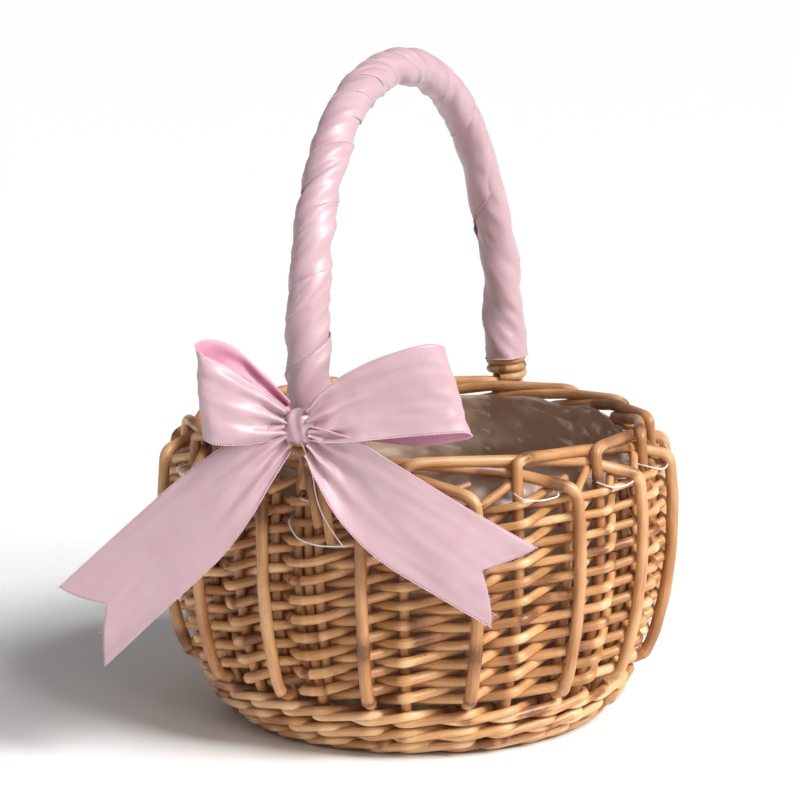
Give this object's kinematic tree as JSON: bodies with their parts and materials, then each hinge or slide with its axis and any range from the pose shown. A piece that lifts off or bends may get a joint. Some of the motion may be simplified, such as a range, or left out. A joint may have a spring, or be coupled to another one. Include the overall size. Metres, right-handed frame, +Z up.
{
  "type": "easter basket",
  "caption": "Round woven willow basket with a fixed ribbon-wrapped hoop handle, a satin bow on one leg and a clear film liner; holds eggs, flowers or sweets.",
  "frame": {"origin": "centre of the foot ring, on the ground", "axes": "+Z up; the hoop handle stands in the YZ plane; the bow is on the -Y leg"},
  "size_m": [0.228, 0.2731, 0.2943],
  "materials": {
    "willow": "peeled buff willow, satin",
    "willow_stake": "peeled buff willow, satin, thicker rods",
    "willow_core": "peeled buff willow, darker",
    "cane": "split cane binding, satin",
    "satin_ribbon": "pale pink satin, glossy face",
    "clear_film": "clear film, crumpled",
    "white_thread": "twisted thread"
  },
  "bodies": {
    "root": {"base_sticks_lower": "willow_core", "base_sticks_upper": "willow_core", "base_weave": "willow_core", "foot_wale_1": "willow", "foot_wale_2": "willow", "foot_wale_3": "willow", "border_stake_01": "willow_stake", "border_stake_02": "willow_stake", "border_stake_03": "willow_stake", "border_stake_04": "willow_stake", "border_stake_05": "willow_stake", "border_stake_06": "willow_stake", "border_stake_07": "willow_stake", "border_stake_08": "willow_stake", "border_stake_09": "willow_stake", "border_stake_10": "willow_stake", "border_stake_11": "willow_stake", "border_stake_12": "willow_stake", "border_stake_13": "willow_stake", "border_stake_14": "willow_stake", "border_stake_15": "willow_stake", "border_stake_16": "willow_stake", "by_stakes": "willow", "side_weavers_01": "willow", "side_weavers_02": "willow", "side_weavers_03": "willow", "side_weavers_04": "willow", "side_weavers_05": "willow", "side_weavers_06": "willow", "side_weavers_07": "willow", "side_weavers_08": "willow", "side_weavers_09": "willow", "side_weavers_10": "willow", "side_weavers_11": "willow", "side_weavers_12": "willow", "side_weavers_13": "willow", "side_weavers_14": "willow", "side_weavers_15": "willow", "side_weavers_16": "willow", "handle_rod_1": "willow_core", "handle_rod_2": "willow_core", "handle_rod_3": "willow_core", "handle_rod_4": "willow_core", "handle_rod_5": "willow_core", "handle_wrap": "satin_ribbon", "cane_binding_front": "cane", "cane_binding_back": "cane", "liner": "clear_film", "liner_stitches": "white_thread", "tie_thread": "white_thread", "bow_knot": "satin_ribbon", "bow_tail_left": "satin_ribbon", "bow_tail_right": "satin_ribbon", "bow_loop_left": "satin_ribbon", "bow_loop_right": "satin_ribbon"}
  },
  "joints": []
}
